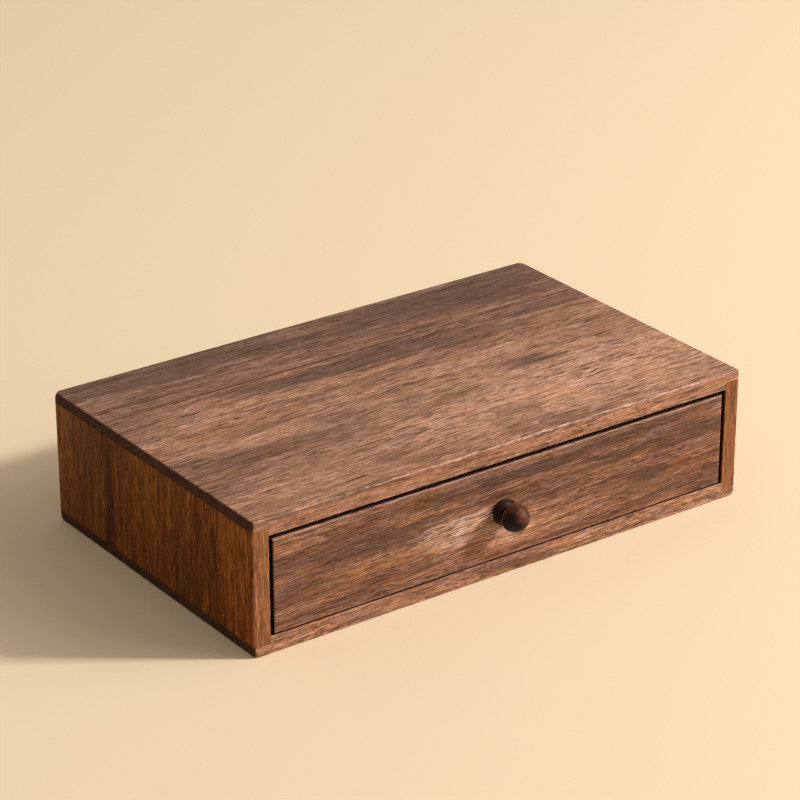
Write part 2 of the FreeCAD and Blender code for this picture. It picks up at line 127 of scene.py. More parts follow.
ON_PLANE = 0.0001 * MM    # a mesh point this near a cutting plane lies on it
OUTER = 0.3               # edge_nearness above which a rounding is an arris
INNER = 0.05              # edge_nearness below which a rounding is a joint line
EASE_STEPS = 4            # mesh strips across a rounding
NODE_STEPS = 2            # the same on pieces shown with their CAD shape
BORE_SIDES = 40           # mesh strips round the spindle's hole
KNOB_SIDES = 96           # mesh strips round the knob


# ---- Mesh making -----------------------------------------------------------------------------


def strictly_inside(point, box):
    return all(box[0][a] < point[a] < box[1][a] for a in range(3))


def filled_cells(levels, add, cut):
    """Cells of the grid of levels whose middles lie in some box of add and in none of cut."""
    cells = set()
    for cell in product(*(range(len(level) - 1) for level in levels)):
        centre = [(levels[a][cell[a]] + levels[a][cell[a] + 1]) / 2 for a in range(3)]
        if any(strictly_inside(centre, b) for b in cut):
            continue
        if any(strictly_inside(centre, b) for b in add):
            cells.add(cell)
    return cells


def cuboid_solid(add, cut=()):
    """bmesh of the union of some boxes less some others, with flat faces merged."""
    levels = []
    for a in range(3):
        low, high = min(b[0][a] for b in add), max(b[1][a] for b in add)
        marks = {round(min(max(c[a], low), high), 7) for b in (*add, *cut) for c in b}
        levels.append(sorted(marks))
    cells = filled_cells(levels, add, cut)
    bm = bmesh.new()
    made = {}

    def vertex(index):
        if index not in made:
            made[index] = bm.verts.new([levels[a][index[a]] for a in range(3)])
        return made[index]

    for cell, axis, side in product(sorted(cells), range(3), (0, 1)):
        beyond = list(cell)
        beyond[axis] += 2 * side - 1
        if tuple(beyond) in cells:
            continue
        ring = []
        for step_b, step_c in ((0, 0), (1, 0), (1, 1), (0, 1)):
            index = list(cell)
            index[axis] += side
            index[(axis + 1) % 3] += step_b
            index[(axis + 2) % 3] += step_c
            ring.append(vertex(tuple(index)))
        bm.faces.new(ring if side else ring[::-1])
    bmesh.ops.dissolve_limit(bm, angle_limit=0.01, verts=bm.verts[:], edges=bm.edges[:])
    bm.normal_update()
    return bm


def new_object(name, mesh):
    obj = bpy.data.objects.new(name, mesh)
    bpy.context.collection.objects.link(obj)
    return obj


def from_bmesh(name, bm):
    mesh = bpy.data.meshes.new(name)
    bm.to_mesh(mesh)
    bm.free()
    return new_object(name, mesh)


def apply_modifiers(obj):
    graph = bpy.context.evaluated_depsgraph_get()
    mesh = bpy.data.meshes.new_from_object(obj.evaluated_get(graph))
    obj.modifiers.clear()
    obj.data = mesh


def planes_touched(point, box):
    """How many of a box's six planes a point lies on."""
    return sum(abs(point[a] - side[a]) < SAME for a in range(3) for side in box)


def ease_edges(obj, radius_of):
    """Rounds every sharp edge by radius_of(middle, direction)."""
    bm = bmesh.new()
    bm.from_mesh(obj.data)
    weights = bm.edges.layers.float.new("bevel_weight_edge")
    for edge in bm.edges:
        if edge.calc_face_angle(0) > FOLD:
            middle = (edge.verts[0].co + edge.verts[1].co) / 2
            direction = (edge.verts[1].co - edge.verts[0].co).normalized()
            edge[weights] = radius_of(middle, direction) / REAR_POST
    bm.to_mesh(obj.data)
    bm.free()
    bevel = obj.modifiers.new("ease", "BEVEL")
    bevel.limit_method = "WEIGHT"
    bevel.width = REAR_POST
    bevel.segments = EASE_STEPS
    bevel.use_clamp_overlap = False
    apply_modifiers(obj)


def bore(obj, start, axis, length, radius):
    """Cuts a round hole through a piece, from start along axis."""
    bm = bmesh.new()
    turn = Vector((0, 0, 1)).rotation_difference(Vector(axis)).to_matrix().to_4x4()
    place = Matrix.Translation(Vector(start) + Vector(axis) * (length / 2)) @ turn
    bmesh.ops.create_cone(bm, cap_ends=True, segments=BORE_SIDES, radius1=radius,
                          radius2=radius, depth=length, matrix=place)
    tool = from_bmesh("tool", bm)
    cut = obj.modifiers.new("bore", "BOOLEAN")
    cut.operation = "DIFFERENCE"
    cut.solver = "EXACT"
    cut.object = tool
    apply_modifiers(obj)
    bpy.data.objects.remove(tool)


def grid_up(bm, low, high, spacing, near):
    """Cuts the mesh along planes across each axis, evenly spaced and twice close to each end."""
    for a in range(3):
        span = high[a] - low[a]
        marks = []
        if span > 6 * near:
            marks += [low[a] + near, high[a] - near, low[a] + 2 * near, high[a] - 2 * near]
        count = int(span / spacing)
        marks += [low[a] + span * (n + 1) / (count + 1) for n in range(count)]
        normal = Vector([float(b == a) for b in range(3)])
        for mark in marks:
            at = Vector([mark if b == a else 0.0 for b in range(3)])
            bmesh.ops.bisect_plane(bm, geom=bm.verts[:] + bm.edges[:] + bm.faces[:],
                                   plane_co=at, plane_no=normal, dist=ON_PLANE)


def edge_nearness(point, envelope):
    """1 on an outer edge of the envelope, fading to 0 at WEAR_REACH from it."""
    gaps = sorted(abs(point[a] - side[a]) for a in range(3) for side in envelope)
    return max(0.0, 1 - gaps[1] / WEAR_REACH)


def arris_wear_glint(point):
    """How much wear, with a painted highlight, an arris at this point gets. The top's front arris gets most
    round the place that the constants above give.
    """
    if point.y > case[0].y + FRONT_DEPTH:
        return REAR_WEAR_GLINT
    if point.z < top_box[0].z + LOW_HEIGHT:
        return LOW_WEAR_GLINT
    return TOP_WEAR_GLINT + MORE_WEAR_GLINT * math.exp(-((point.x - GLINT_X) / GLINT_REACH) ** 2)


def arris_centre(point, radius):
    """Centre of a ball set in the case's outer corner nearest the point, and which way is out."""
    middle = (case[0] + case[1]) / 2
    sides = [1 if point[a] > middle[a] else -1 for a in range(3)]
    centre = Vector([(case[1][a] if sides[a] > 0 else case[0][a]) - sides[a] * radius for a in range(3)])
    return centre, sides


def keep_to_arris(point):
    """Brings a point that stands proud of the case's rounded outer edges back onto their rounding."""
    for a, b, radius in ((0, 2, END_ARRIS), (0, 1, REAR_POST if point.y > 0 else ARRIS), (1, 2, ARRIS)):
        centre, sides = arris_centre(point, radius)
        out_a, out_b = point[a] - centre[a], point[b] - centre[b]
        length = math.hypot(out_a, out_b)
        if out_a * sides[a] > 0 and out_b * sides[b] > 0 and length > radius:
            point[a] = centre[a] + out_a * radius / length
            point[b] = centre[b] + out_b * radius / length
    return point


def soften_corner(point):
    """Pulls points near the case's outer corners in, towards a ball set in the corner."""
    low = point.z < (case[0].z + case[1].z) / 2
    radius = REAR_BALL if point.y > 0 else FOOT_BALL if low else BROW_BALL
    centre, sides = arris_centre(point, radius)
    out = point - centre
    past = min(out[a] * sides[a] for a in range(3))
    if past <= 0:
        return point
    blend = min(past / (BALL_BLEND * radius), 1.0)
    return point.lerp(centre + out * min(1.0, radius / out.length), blend)


def unevenness(point, seed):
    """Slow waves, from 0 to 1, and sparse nicks at a point of a piece."""
    offset = Vector((seed * 1.7, seed * 0.9, seed * 2.3))
    waves = 0.5 + 0.5 * noise.noise(point * 55 + offset)
    nicks = max(0.0, noise.noise(point * 260 + offset) - 0.35) * 1.6
    return waves, nicks


def inward_step(rounded, near, waves, nicks):
    """How far a point moves in: a little on faces, more on outer arrises, not at all on joint lines."""
    if not rounded:
        return FLATNESS * waves
    if near > OUTER:
        return FLATNESS * waves + UNEVEN * (waves + nicks) * near
    return 0.0


def weather(obj, envelope, seed, shade_in_gap=lambda point, normal: 0.0):
    """Makes faces and arrises slightly uneven, always inwards, and stores the masks the materials read.

    The last argument, given a point and its normal, says how much painted shade the point gets in a gap,
    from 0 to 1.
    """
    bm = bmesh.new()
    bm.from_mesh(obj.data)
    low = Vector([min(v.co[a] for v in bm.verts) for a in range(3)])
    high = Vector([max(v.co[a] for v in bm.verts) for a in range(3)])
    grid_up(bm, low, high, GRID, NEAR_ARRIS)
    bmesh.ops.remove_doubles(bm, verts=bm.verts[:], dist=WELD)
    bm.normal_update()
    wear_and_glint = bm.verts.layers.float.new("wear_and_glint")
    joint = bm.verts.layers.float.new("joint")
    painted_shade = bm.verts.layers.float.new("painted_shade")
    for v in bm.verts:
        near = edge_nearness(v.co, envelope)
        rounded = max(abs(c) for c in v.normal) < ROUNDED
        waves, nicks = unevenness(v.co, seed)
        # wear along the arrises, with a painted highlight where they catch the light
        v[wear_and_glint] = near * (0.55 + 0.45 * waves) * arris_wear_glint(v.co)
        # painted shade in gaps
        v[painted_shade] = shade_in_gap(v.co, v.normal)
        if rounded and near < INNER:
            v[joint] = FRONT_JOINT if v.co.y < envelope[0].y + 1 * MM else 1.0
        v.co -= v.normal * inward_step(rounded, near, waves, nicks)
        if envelope is case:
            v.co = soften_corner(keep_to_arris(v.co))
    for f in bm.faces:
        f.smooth = True
    bm.to_mesh(obj.data)
    bm.free()
    obj.data.set_sharp_from_angle(angle=math.radians(SHARP_DEG))
    weighted = obj.modifiers.new("weighted", "WEIGHTED_NORMAL")
    weighted.keep_sharp = True
    apply_modifiers(obj)


# ---- Material making ---------------------------------------------------------------------------


def srgb(red, green, blue):
    """Linear colour of an 8-bit sRGB one."""
    def linear(c):
        c /= 255
        return c / 12.92 if c <= 0.04045 else ((c + 0.055) / 1.055) ** 2.4
    return linear(red), linear(green), linear(blue), 1.0


class Tree:
    """Short calls for adding nodes to a material or a group."""

    def __init__(self, node_tree):
        self.nodes = node_tree.nodes
        self.links = node_tree.links

    def add(self, kind, inputs=None, **settings):
        node = self.nodes.new(kind)
        for name, value in settings.items():
            setattr(node, name, value)
        for key, value in (inputs or {}).items():
            self.put(node.inputs[key], value)
        return node

    def put(self, socket, value):
        if isinstance(value, bpy.types.NodeSocket):
            self.links.new(value, socket)
        else:
            socket.default_value = value

    def math(self, operation, a, b=0.0, clamp=False):
        node = self.add("ShaderNodeMath", {0: a, 1: b}, operation=operation, use_clamp=clamp)
        return node.outputs[0]

    def mix(self, factor, a, b, blend="MIX"):
        node = self.add("ShaderNodeMix", data_type="RGBA", blend_type=blend, clamp_factor=True)
        self.put(node.inputs[0], factor)
        self.put(node.inputs[6], a)
        self.put(node.inputs[7], b)
        return node.outputs[2]

    def smooth(self, value, low, high, out_low=0.0, out_high=1.0):
        """Smooth step from out_low at low to out_high at high."""
        node = self.add("ShaderNodeMapRange", {0: value, 1: low, 2: high, 3: out_low, 4: out_high},
                        interpolation_type="SMOOTHSTEP")
        return node.outputs[0]

    def scale(self, vector, factors, shift=(0, 0, 0)):
        node = self.add("ShaderNodeMapping", {"Vector": vector, "Scale": factors, "Location": shift})
        return node.outputs[0]

    def noise(self, vector, detail=2.0, roughness=0.5, distortion=0.0, scale=1.0):
        node = self.add("ShaderNodeTexNoise", {"Vector": vector, "Scale": scale, "Detail": detail,
                                               "Roughness": roughness, "Distortion": distortion})
        return node.outputs[0]

    def split(self, vector):
        node = self.add("ShaderNodeSeparateXYZ", {0: vector})
        return node.outputs[0], node.outputs[1], node.outputs[2]

    def join(self, x, y, z):
        return self.add("ShaderNodeCombineXYZ", {0: x, 1: y, 2: z}).outputs[0]

    def attribute(self, name):
        return self.add("ShaderNodeAttribute", attribute_name=name).outputs["Fac"]

    def around_half(self, value, weight):
        """Noise centred on nought, times a weight."""
        return self.math("MULTIPLY", self.math("SUBTRACT", value, 0.5), weight)

    def show(self, shader):
        """Puts a shader on the material's surface."""
        surface = self.add("ShaderNodeOutputMaterial")
        self.links.new(shader.outputs[0], surface.inputs[0])


def new_material(name):
    """A material with no nodes yet, and its tree."""
    material = bpy.data.materials.new(name)
    material.use_nodes = True
    t = Tree(material.node_tree)
    t.nodes.clear()
    return material, t


def grain_flow(t, place, wander, fineness):
    """Places that follow the wandering grain: along, across, into the board, and all three for noise."""
    u, v, w = t.split(place)
    drift = t.noise(t.scale(place, (0.007, 0.012, 0.012)), 1.0)
    waves = t.noise(t.scale(place, (0.045, 0.05, 0.05)), 1.5)
    ripples = t.noise(t.scale(place, (0.13, 0.12, 0.12), (5.0, 3.0, 8.0)), 1.0)
    moved = t.math("ADD", t.around_half(drift, 10.0), t.around_half(waves, 3.6))
    moved = t.math("ADD", moved, t.around_half(ripples, 1.6))
    moved = t.math("MULTIPLY", moved, wander)
    v = t.math("ADD", v, moved)
    w = t.math("ADD", w, t.math("MULTIPLY", moved, 0.6))
    flow = t.join(t.math("MULTIPLY", u, 0.036), t.math("MULTIPLY", v, fineness),
                  t.math("MULTIPLY", w, fineness))
    return u, v, w, flow


def growth_rings(t, u, v, w, flow, pitch):
    """Growth rings round a pith well below the face, which leans along the board."""
    pith_v = t.math("ADD", v, t.math("MULTIPLY", u, 0.04))
    radius = t.math("SQRT", t.math("ADD", t.math("MULTIPLY", pith_v, pith_v),
                                   t.math("POWER", t.math("ADD", w, 60.0), 2.0)))
    uneven = t.math("MULTIPLY", t.noise(t.scale(flow, (0.2, 0.05, 0.05)), 1.0), 12.0)
    phase = t.math("FRACT", t.math("DIVIDE", t.math("ADD", radius, uneven), pitch))
    broken = t.smooth(t.noise(t.scale(flow, (0.5, 0.12, 0.12), (4.0, 2.0, 7.0)), 2.0), 0.4, 0.62)
    rings = t.math("MULTIPLY", t.smooth(phase, 0.6, 0.95), t.smooth(phase, 1.0, 0.97))
    return t.math("MULTIPLY", rings, broken)


def dark_lines(t, flow):
    """Thin dark lines that follow the grain without a break, a coarse set and a fine one."""
    coarse = t.noise(t.scale(flow, (1.0, 0.7, 0.7), (9.0, 4.0, 2.0)), 3.0, 0.55)
    delicate = t.noise(t.scale(flow, (2.2, 1.5, 1.5), (1.0, 6.0, 4.0)), 2.0, 0.5)
    coarse = t.smooth(t.math("ABSOLUTE", t.math("SUBTRACT", coarse, 0.5)), 0.05, 0.006)
    delicate = t.smooth(t.math("ABSOLUTE", t.math("SUBTRACT", delicate, 0.5)), 0.06, 0.008)
    patches = t.noise(t.scale(flow, (1.6, 0.3, 0.3), (3.0, 9.0, 5.0)), 2.0)
    where = t.smooth(patches, 0.4, 0.6, 0.15, 1.0)
    return t.math("MAXIMUM", t.math("MULTIPLY", coarse, where), t.math("MULTIPLY", delicate, 0.6))


def open_pores(t, place, flow):
    """Open pores: dark dashes along the grain, short ones in most places and long ones in some."""
    dashes = t.noise(t.scale(flow, (2.2, 1.7, 1.7), (7.3, 2.1, 5.7)), 1.5, 0.5)
    long_dashes = t.noise(t.scale(flow, (0.7, 1.3, 1.3), (3.1, 8.4, 1.9)), 2.0, 0.5)
    patches = t.noise(t.scale(place, (0.012, 0.05, 0.05), (1.3, 4.4, 9.2)), 1.0)
    gate = t.smooth(patches, 0.38, 0.6, 0.25, 1.0)
    short = t.math("MULTIPLY", t.smooth(dashes, 0.555, 0.68), gate)
    return t.math("MAXIMUM", short, t.smooth(long_dashes, 0.575, 0.7))


def surface_height(t, fibres, fine, pores, lines):
    """Height for the bump: raised fibres, sunk pores and lines."""
    height = t.math("SUBTRACT", t.math("MULTIPLY", fibres, 0.4), t.math("MULTIPLY", pores, 0.8))
    height = t.math("SUBTRACT", height, t.math("MULTIPLY", lines, 0.35))
    return t.math("ADD", height, t.math("MULTIPLY", fine, 0.3))


def grain_group():
    """Wood figure in board space, in millimetres: X along the grain, Y across the face, Z inwards.

    The triples given to scale() are waves per millimetre, or waves per unit of the flow along the grain.
    """
    group = bpy.data.node_groups.new("wood_figure", "ShaderNodeTree")
    face = group.interface
    face.new_socket("Place", in_out="INPUT", socket_type="NodeSocketVector")
    for name in ("Wander", "Fineness", "Ring pitch"):
        face.new_socket(name, in_out="INPUT", socket_type="NodeSocketFloat")
    for name in ("Rings", "Bands", "Streaks", "Fibres", "Fine", "Lines", "Pores", "Cloud", "Hue", "Height"):
        face.new_socket(name, in_out="OUTPUT", socket_type="NodeSocketFloat")
    t = Tree(group)
    given = t.add("NodeGroupInput").outputs
    place = given["Place"]
    u, v, w, flow = grain_flow(t, place, given["Wander"], given["Fineness"])
    fibres = t.noise(t.scale(flow, (1.3, 1.0, 1.0)), 3.0, 0.6)
    hairs = t.noise(t.scale(flow, (3.6, 2.2, 2.2), (6.0, 1.0, 3.0)), 2.0, 0.6)
    specks = t.noise(t.scale(flow, (12.0, 3.6, 3.6), (2.0, 7.0, 5.0)), 1.0, 0.5)
    fine = t.math("ADD", t.math("MULTIPLY", hairs, 0.72), t.math("MULTIPLY", specks, 0.28))
    lines = dark_lines(t, flow)
    pores = open_pores(t, place, flow)
    found = {
        "Rings": growth_rings(t, u, v, w, flow, given["Ring pitch"]),
        "Bands": t.noise(t.scale(flow, (0.2, 0.16, 0.16)), 2.0, 0.5),
        "Streaks": t.noise(t.scale(flow, (0.55, 0.5, 0.5), (2.0, 5.0, 8.0)), 2.0, 0.55),
        "Fibres": fibres,
        "Fine": fine,
        "Lines": lines,
        "Pores": pores,
        "Cloud": t.noise(t.scale(place, (0.0065, 0.022, 0.022)), 3.0, 0.52, 0.3),
        "Hue": t.noise(t.scale(flow, (1.1, 0.32, 0.32), (8.0, 3.0, 6.0)), 4.0, 0.85),
        "Height": surface_height(t, fibres, fine, pores, lines),
    }
    out = t.add("NodeGroupOutput")
    for name, value in found.items():
        t.put(out.inputs[name], value)
    return group


FIGURE = grain_group()


def board_space(t, grain, lean_deg, seed):
    """Object coordinates in millimetres, X along the grain: plain, then leaned and moved by the seed."""
    order = {"x": (0, 1, 2), "y": (1, 2, 0), "z": (2, 1, 0), "x_upright": (0, 2, 1)}[grain]
    place = t.scale(t.add("ShaderNodeTexCoord").outputs["Object"], (1 / MM,) * 3)
    axes = t.split(place)
    turned = t.join(*(axes[i] for i in order))
    node = t.add("ShaderNodeMapping", {"Vector": turned, "Rotation": (0, 0, math.radians(lean_deg)),
                                       "Location": (seed * 713.0, seed * 57.0, seed * 31.0)})
    return turned, node.outputs[0]


def stain_and_shade_patch(t, figure, place, base, colour, at, size, strength):
    """A soft-edged area of another colour, stretched along the grain and frayed by it."""
    u, v, _ = t.split(place)
    du = t.math("DIVIDE", t.math("SUBTRACT", u, at[0]), size[0])
    dv = t.math("DIVIDE", t.math("SUBTRACT", v, at[1]), size[1])
    fray = t.math("ADD", t.around_half(figure["Bands"], 1.6), t.around_half(figure["Streaks"], 1.6))
    far = t.math("SQRT", t.math("ADD", t.math("MULTIPLY", du, du), t.math("MULTIPLY", dv, dv)))
    far = t.math("ADD", far, fray)
    return t.mix(t.smooth(far, 1.35, 0.25, 0.0, strength), base, colour)


WARMER = (1.12, 0.97, 0.7, 1)
COOLER = (0.88, 1.03, 1.34, 1)


def broad_colour(t, figure, place, palette, stains_and_shade, cloud, hue):
    """Paler bands, smoky clouds, the board's own areas, and a drift between warm and cool brown."""
    colour = t.mix(t.smooth(figure["Bands"], 0.36, 0.64), palette.mid, palette.light)
    colour = t.mix(t.smooth(figure["Cloud"], 0.5, 0.68, 0.0, cloud), colour, palette.smoky)
    for spot in stains_and_shade:
        colour = stain_and_shade_patch(t, figure, place, colour, **spot)
    drift = t.mix(t.smooth(figure["Hue"], 0.34, 0.66), WARMER, COOLER)
    return t.mix(hue, colour, t.mix(1.0, colour, drift, "MULTIPLY"))


def fine_figure(t, figure, colour, palette, contrast, paler_by, rings, pores):
    """Streaks that lighten and darken the colour, thin lines, growth rings and pores."""
    tone = t.math("ADD", t.around_half(figure["Streaks"], 1.1), t.around_half(figure["Fibres"], 1.5))
    tone = t.math("ADD", tone, t.around_half(figure["Fine"], 3.6))
    tone = t.math("MULTIPLY", tone, contrast)
    colour = t.mix(t.smooth(tone, 0.05, -0.75, 0.0, 0.85), colour, palette.dark)
    paler = t.mix(1.0, colour, paler_by, "MULTIPLY")
    colour = t.mix(t.smooth(tone, -0.05, 0.75), colour, paler)
    lines = t.math("MULTIPLY", figure["Lines"], 0.6 * contrast, clamp=True)
    colour = t.mix(lines, colour, palette.dark)
    colour = t.mix(t.math("MULTIPLY", figure["Rings"], rings), colour, palette.dark)
    return t.mix(t.math("MULTIPLY", figure["Pores"], pores), colour, palette.pore)


def wear_glint_joints_and_shade(t, figure, colour, pore, end, wear_glint_colour):
    """Rubbed arrises with a painted highlight, dark joint lines, and painted shade in gaps."""
    # wear along the arrises, with a painted highlight where they catch the light
    rub_glint = t.math("ADD", t.attribute("wear_and_glint"), t.around_half(figure["Fine"], 2.3))
    scuff_and_glint = t.smooth(rub_glint, 0.3, 0.95, 0.0, 0.75)
    colour = t.mix(t.math("MULTIPLY", scuff_and_glint, t.math("SUBTRACT", 1.0, end)), colour, wear_glint_colour)
    colour = t.mix(t.math("MULTIPLY", t.attribute("joint"), 0.85), colour, pore)
    # painted shade in gaps: the colour goes most of the way to a near-black brown
    return t.mix(t.math("MULTIPLY", t.attribute("painted_shade"), 0.9), colour, PAINTED_SHADE_COLOUR)


def oiled_surface(t, figure, colour, end, rough, shine):
    """Thin oil over the colour: rough in pores, smooth where rubbed, dull on end grain, in joints and where
    shade is painted in gaps.
    """
    matt = t.math("ADD", t.math("MULTIPLY", figure["Pores"], 0.2), rough)
    matt = t.math("ADD", matt, t.around_half(figure["Fibres"], 0.3))
    matt = t.math("SUBTRACT", matt, t.math("MULTIPLY", t.attribute("wear_and_glint"), 0.1), clamp=True)
    bump = t.add("ShaderNodeBump", {"Strength": 0.6, "Distance": 0.14 * MM, "Height": figure["Height"]})
    dull = t.math("MAXIMUM", end, t.math("MAXIMUM", t.attribute("joint"), t.attribute("painted_shade")))
    gloss = t.math("MULTIPLY", t.math("SUBTRACT", 1.0, dull), shine)
    return t.add("ShaderNodeBsdfPrincipled", {"Base Color": colour, "Roughness": matt,
                                              "Normal": bump.outputs[0], "Specular IOR Level": gloss})


def walnut(name, grain, seed, palette, stains_and_shade=(), lean_deg=0.0, wander=1.0, fineness=0.6, ring_pitch=9.0,
           rings=0.5, pores=0.7, rough=0.46, cloud=0.6, contrast=1.0, shine=0.25, end_dark=0.93,
           wear_glint_colour=None, edge_tint=None, calm=0.0, hue=0.35, paler_by=(1.55, 1.72, 2.1, 1)):
    """Oiled walnut, or another wood with its own palette. The patches given are extra areas of colour:
    stains, and on the knob painted shade.

    Where the wood faces the front or back, edge_tint multiplies the colour and calm evens it out. paler_by
    multiplies it in the light streaks. hue is how far it drifts between warm and cool brown.
    """
    material, t = new_material(name)
    flat_place, place = board_space(t, grain, lean_deg, seed)
    group = t.add("ShaderNodeGroup", {}, node_tree=FIGURE)
    t.put(group.inputs["Place"], place)
    group.inputs["Wander"].default_value = wander
    group.inputs["Fineness"].default_value = fineness
    group.inputs["Ring pitch"].default_value = ring_pitch
    figure = group.outputs
    colour = broad_colour(t, figure, flat_place, palette, stains_and_shade, cloud, hue)
    colour = fine_figure(t, figure, colour, palette, contrast, paler_by, rings, pores)
    # End grain drinks oil and goes dark
    normal = t.split(t.add("ShaderNodeTexCoord").outputs["Normal"])
    across = normal[{"y": 1, "z": 2}.get(grain, 0)]
    end = t.smooth(t.math("ABSOLUTE", across), 0.35, 0.8, 0.0, end_dark)
    colour = t.mix(end, colour, palette.pore)
    if edge_tint:
        calmer = t.mix(calm, colour, palette.mid)
        faces_out = t.smooth(t.math("ABSOLUTE", normal[1]), 0.6, 0.9)
        colour = t.mix(faces_out, colour, t.mix(1.0, calmer, edge_tint, "MULTIPLY"))
    colour = wear_glint_joints_and_shade(t, figure, colour, palette.pore, end, wear_glint_colour or palette.light)
    t.show(oiled_surface(t, figure, colour, end, rough, shine))
    return material


def steel(name):
    """Plain screw steel with fine turning marks and a little tarnish."""
    material, t = new_material(name)
    place = t.scale(t.add("ShaderNodeTexCoord").outputs["Object"], (1 / MM,) * 3)
    tarnish = t.noise(t.scale(place, (0.5, 0.5, 0.5)), 4.0, 0.6)
    marks = t.noise(t.scale(place, (2.0, 9.0, 9.0)), 2.0)
    colour = t.mix(t.smooth(tarnish, 0.4, 0.7), (0.52, 0.51, 0.49, 1), (0.27, 0.24, 0.2, 1))
    rough = t.math("ADD", t.math("MULTIPLY", tarnish, 0.3), 0.22)
    bump = t.add("ShaderNodeBump", {"Strength": 0.3, "Distance": 0.03 * MM, "Height": marks})
    shader = t.add("ShaderNodeBsdfPrincipled", {"Base Color": colour, "Roughness": rough,
                                                "Normal": bump.outputs[0]})
    shader.inputs["Metallic"].default_value = 1.0
    t.show(shader)
    return material


# ---- Woods -----------------------------------------------------------------------------------

Palette = namedtuple("Palette", "light mid dark smoky pore")
PORE = srgb(46, 23, 11)
# near-black brown of the painted shade in gaps
PAINTED_SHADE_COLOUR = srgb(36, 17, 10)
TOP_WOOD = Palette(srgb(182, 132, 102), srgb(157, 111, 84), srgb(92, 57, 37),
                   srgb(100, 74, 62), PORE)
REAR_WOOD = Palette(srgb(160, 116, 90), srgb(136, 97, 76), srgb(82, 52, 37),
                    srgb(90, 65, 55), PORE)
# The left side's palette, here and the rear board's below, is a darker, more saturated copy of the sides'
# walnut: painted shade on the side turned away from the light. The right side's palette is the walnut's
# own.
LEFT_SHADED_WOOD = Palette(srgb(138, 80, 27), srgb(118, 65, 20), srgb(72, 33, 8),
                    srgb(78, 43, 14), srgb(32, 12, 2))
RIGHT_WOOD = Palette(srgb(158, 108, 76), srgb(136, 90, 62), srgb(80, 47, 30),
                     srgb(92, 62, 48), srgb(42, 21, 11))
LEFT_REAR_SHADED_WOOD = Palette(srgb(130, 78, 28), srgb(109, 63, 21), srgb(70, 37, 11),
                         srgb(71, 44, 15), srgb(32, 13, 3))
DRAWER_WOOD = Palette(srgb(150, 103, 74), srgb(119, 78, 54), srgb(72, 35, 14),
                      srgb(82, 59, 50), srgb(40, 20, 11))
FRAME_WOOD = Palette(srgb(182, 131, 98), srgb(155, 109, 81), srgb(88, 56, 40),
                     srgb(108, 78, 63), srgb(44, 25, 16))
MAPLE = Palette(srgb(224, 199, 166), srgb(210, 182, 147), srgb(178, 146, 110),
                srgb(200, 170, 134), srgb(150, 117, 84))
BEECH = Palette(srgb(184, 134, 92), srgb(164, 114, 76), srgb(124, 82, 52),
                srgb(146, 100, 66), srgb(86, 54, 32))
KNOB_WOOD = Palette(srgb(124, 66, 37), srgb(93, 47, 26), srgb(44, 20, 11),
                    srgb(52, 25, 14), srgb(18, 7, 4))


def area(colour, at, size, strength):
    """A patch of colour, which is a stain on the boards and painted shade on the knob. at and size are in
    millimetres along and across the grain.

    at is measured from the frame's origin, which is on the floor under the middle of the case.
    """
    return {"colour": colour, "at": at, "size": size, "strength": strength}


TOP_STAINS = (
    area(srgb(212, 158, 126), (95, -60), (170, 44), 0.78),    # paler front right
    area(srgb(96, 69, 58), (5, 36), (125, 15), 0.85),         # dark band in front of the seam
    area(srgb(88, 64, 56), (82, -22), (24, 8), 0.8),          # smoky blotch
    area(srgb(188, 130, 90), (-140, 4), (46, 10), 0.5),       # golden streak at the left
    area(srgb(112, 78, 58), (-90, -40), (70, 12), 0.5),
)
REAR_STAINS = (
    area(srgb(98, 68, 55), (112, 84), (92, 24), 0.8),
    area(srgb(156, 108, 80), (20, 62), (80, 7), 0.5),
    area(srgb(98, 70, 57), (-105, 88), (90, 24), 0.8),
)
KNOB_PAINTED_SHADE = (area(srgb(12, 5, 3), (-11.5, 37), (11, 13), 0.97),)     # painted shade on the knob's left and lower part, turned from the light
DRAWER_STAINS = (
    area(srgb(80, 58, 48), (14, 62), (66, 9), 0.85),
    area(srgb(84, 60, 46), (118, 56), (60, 11), 0.7),
    area(srgb(210, 162, 130), (-34, 37), (38, 11), 0.92),
    area(srgb(204, 154, 118), (6, 25), (34, 7), 0.85),
    area(srgb(184, 130, 90), (44, 25), (34, 7), 0.6),
    area(srgb(82, 60, 50), (-90, 46), (40, 11), 0.6),
    area(srgb(164, 110, 66), (-100, 33), (34, 6), 0.5),
    area(srgb(140, 92, 62), (96, 30), (50, 9), 0.4),
    area(srgb(74, 56, 47), (106, 33), (13, 5), 0.75),
)
SIDE_STAINS = (
    area(srgb(60, 32, 13), (42, 46), (95, 10), 0.85),
    area(srgb(152, 85, 28), (42, -96), (95, 22), 0.6),
)

TOP_LOOK = dict(grain="x", fineness=0.45, contrast=0.85, shine=0.3, end_dark=0.87,
                wear_glint_colour=srgb(218, 170, 146), edge_tint=(0.84, 0.79, 0.76, 1))
RAIL_LOOK = dict(TOP_LOOK, contrast=1.2, fineness=0.7, edge_tint=(0.92, 0.88, 0.86, 1))
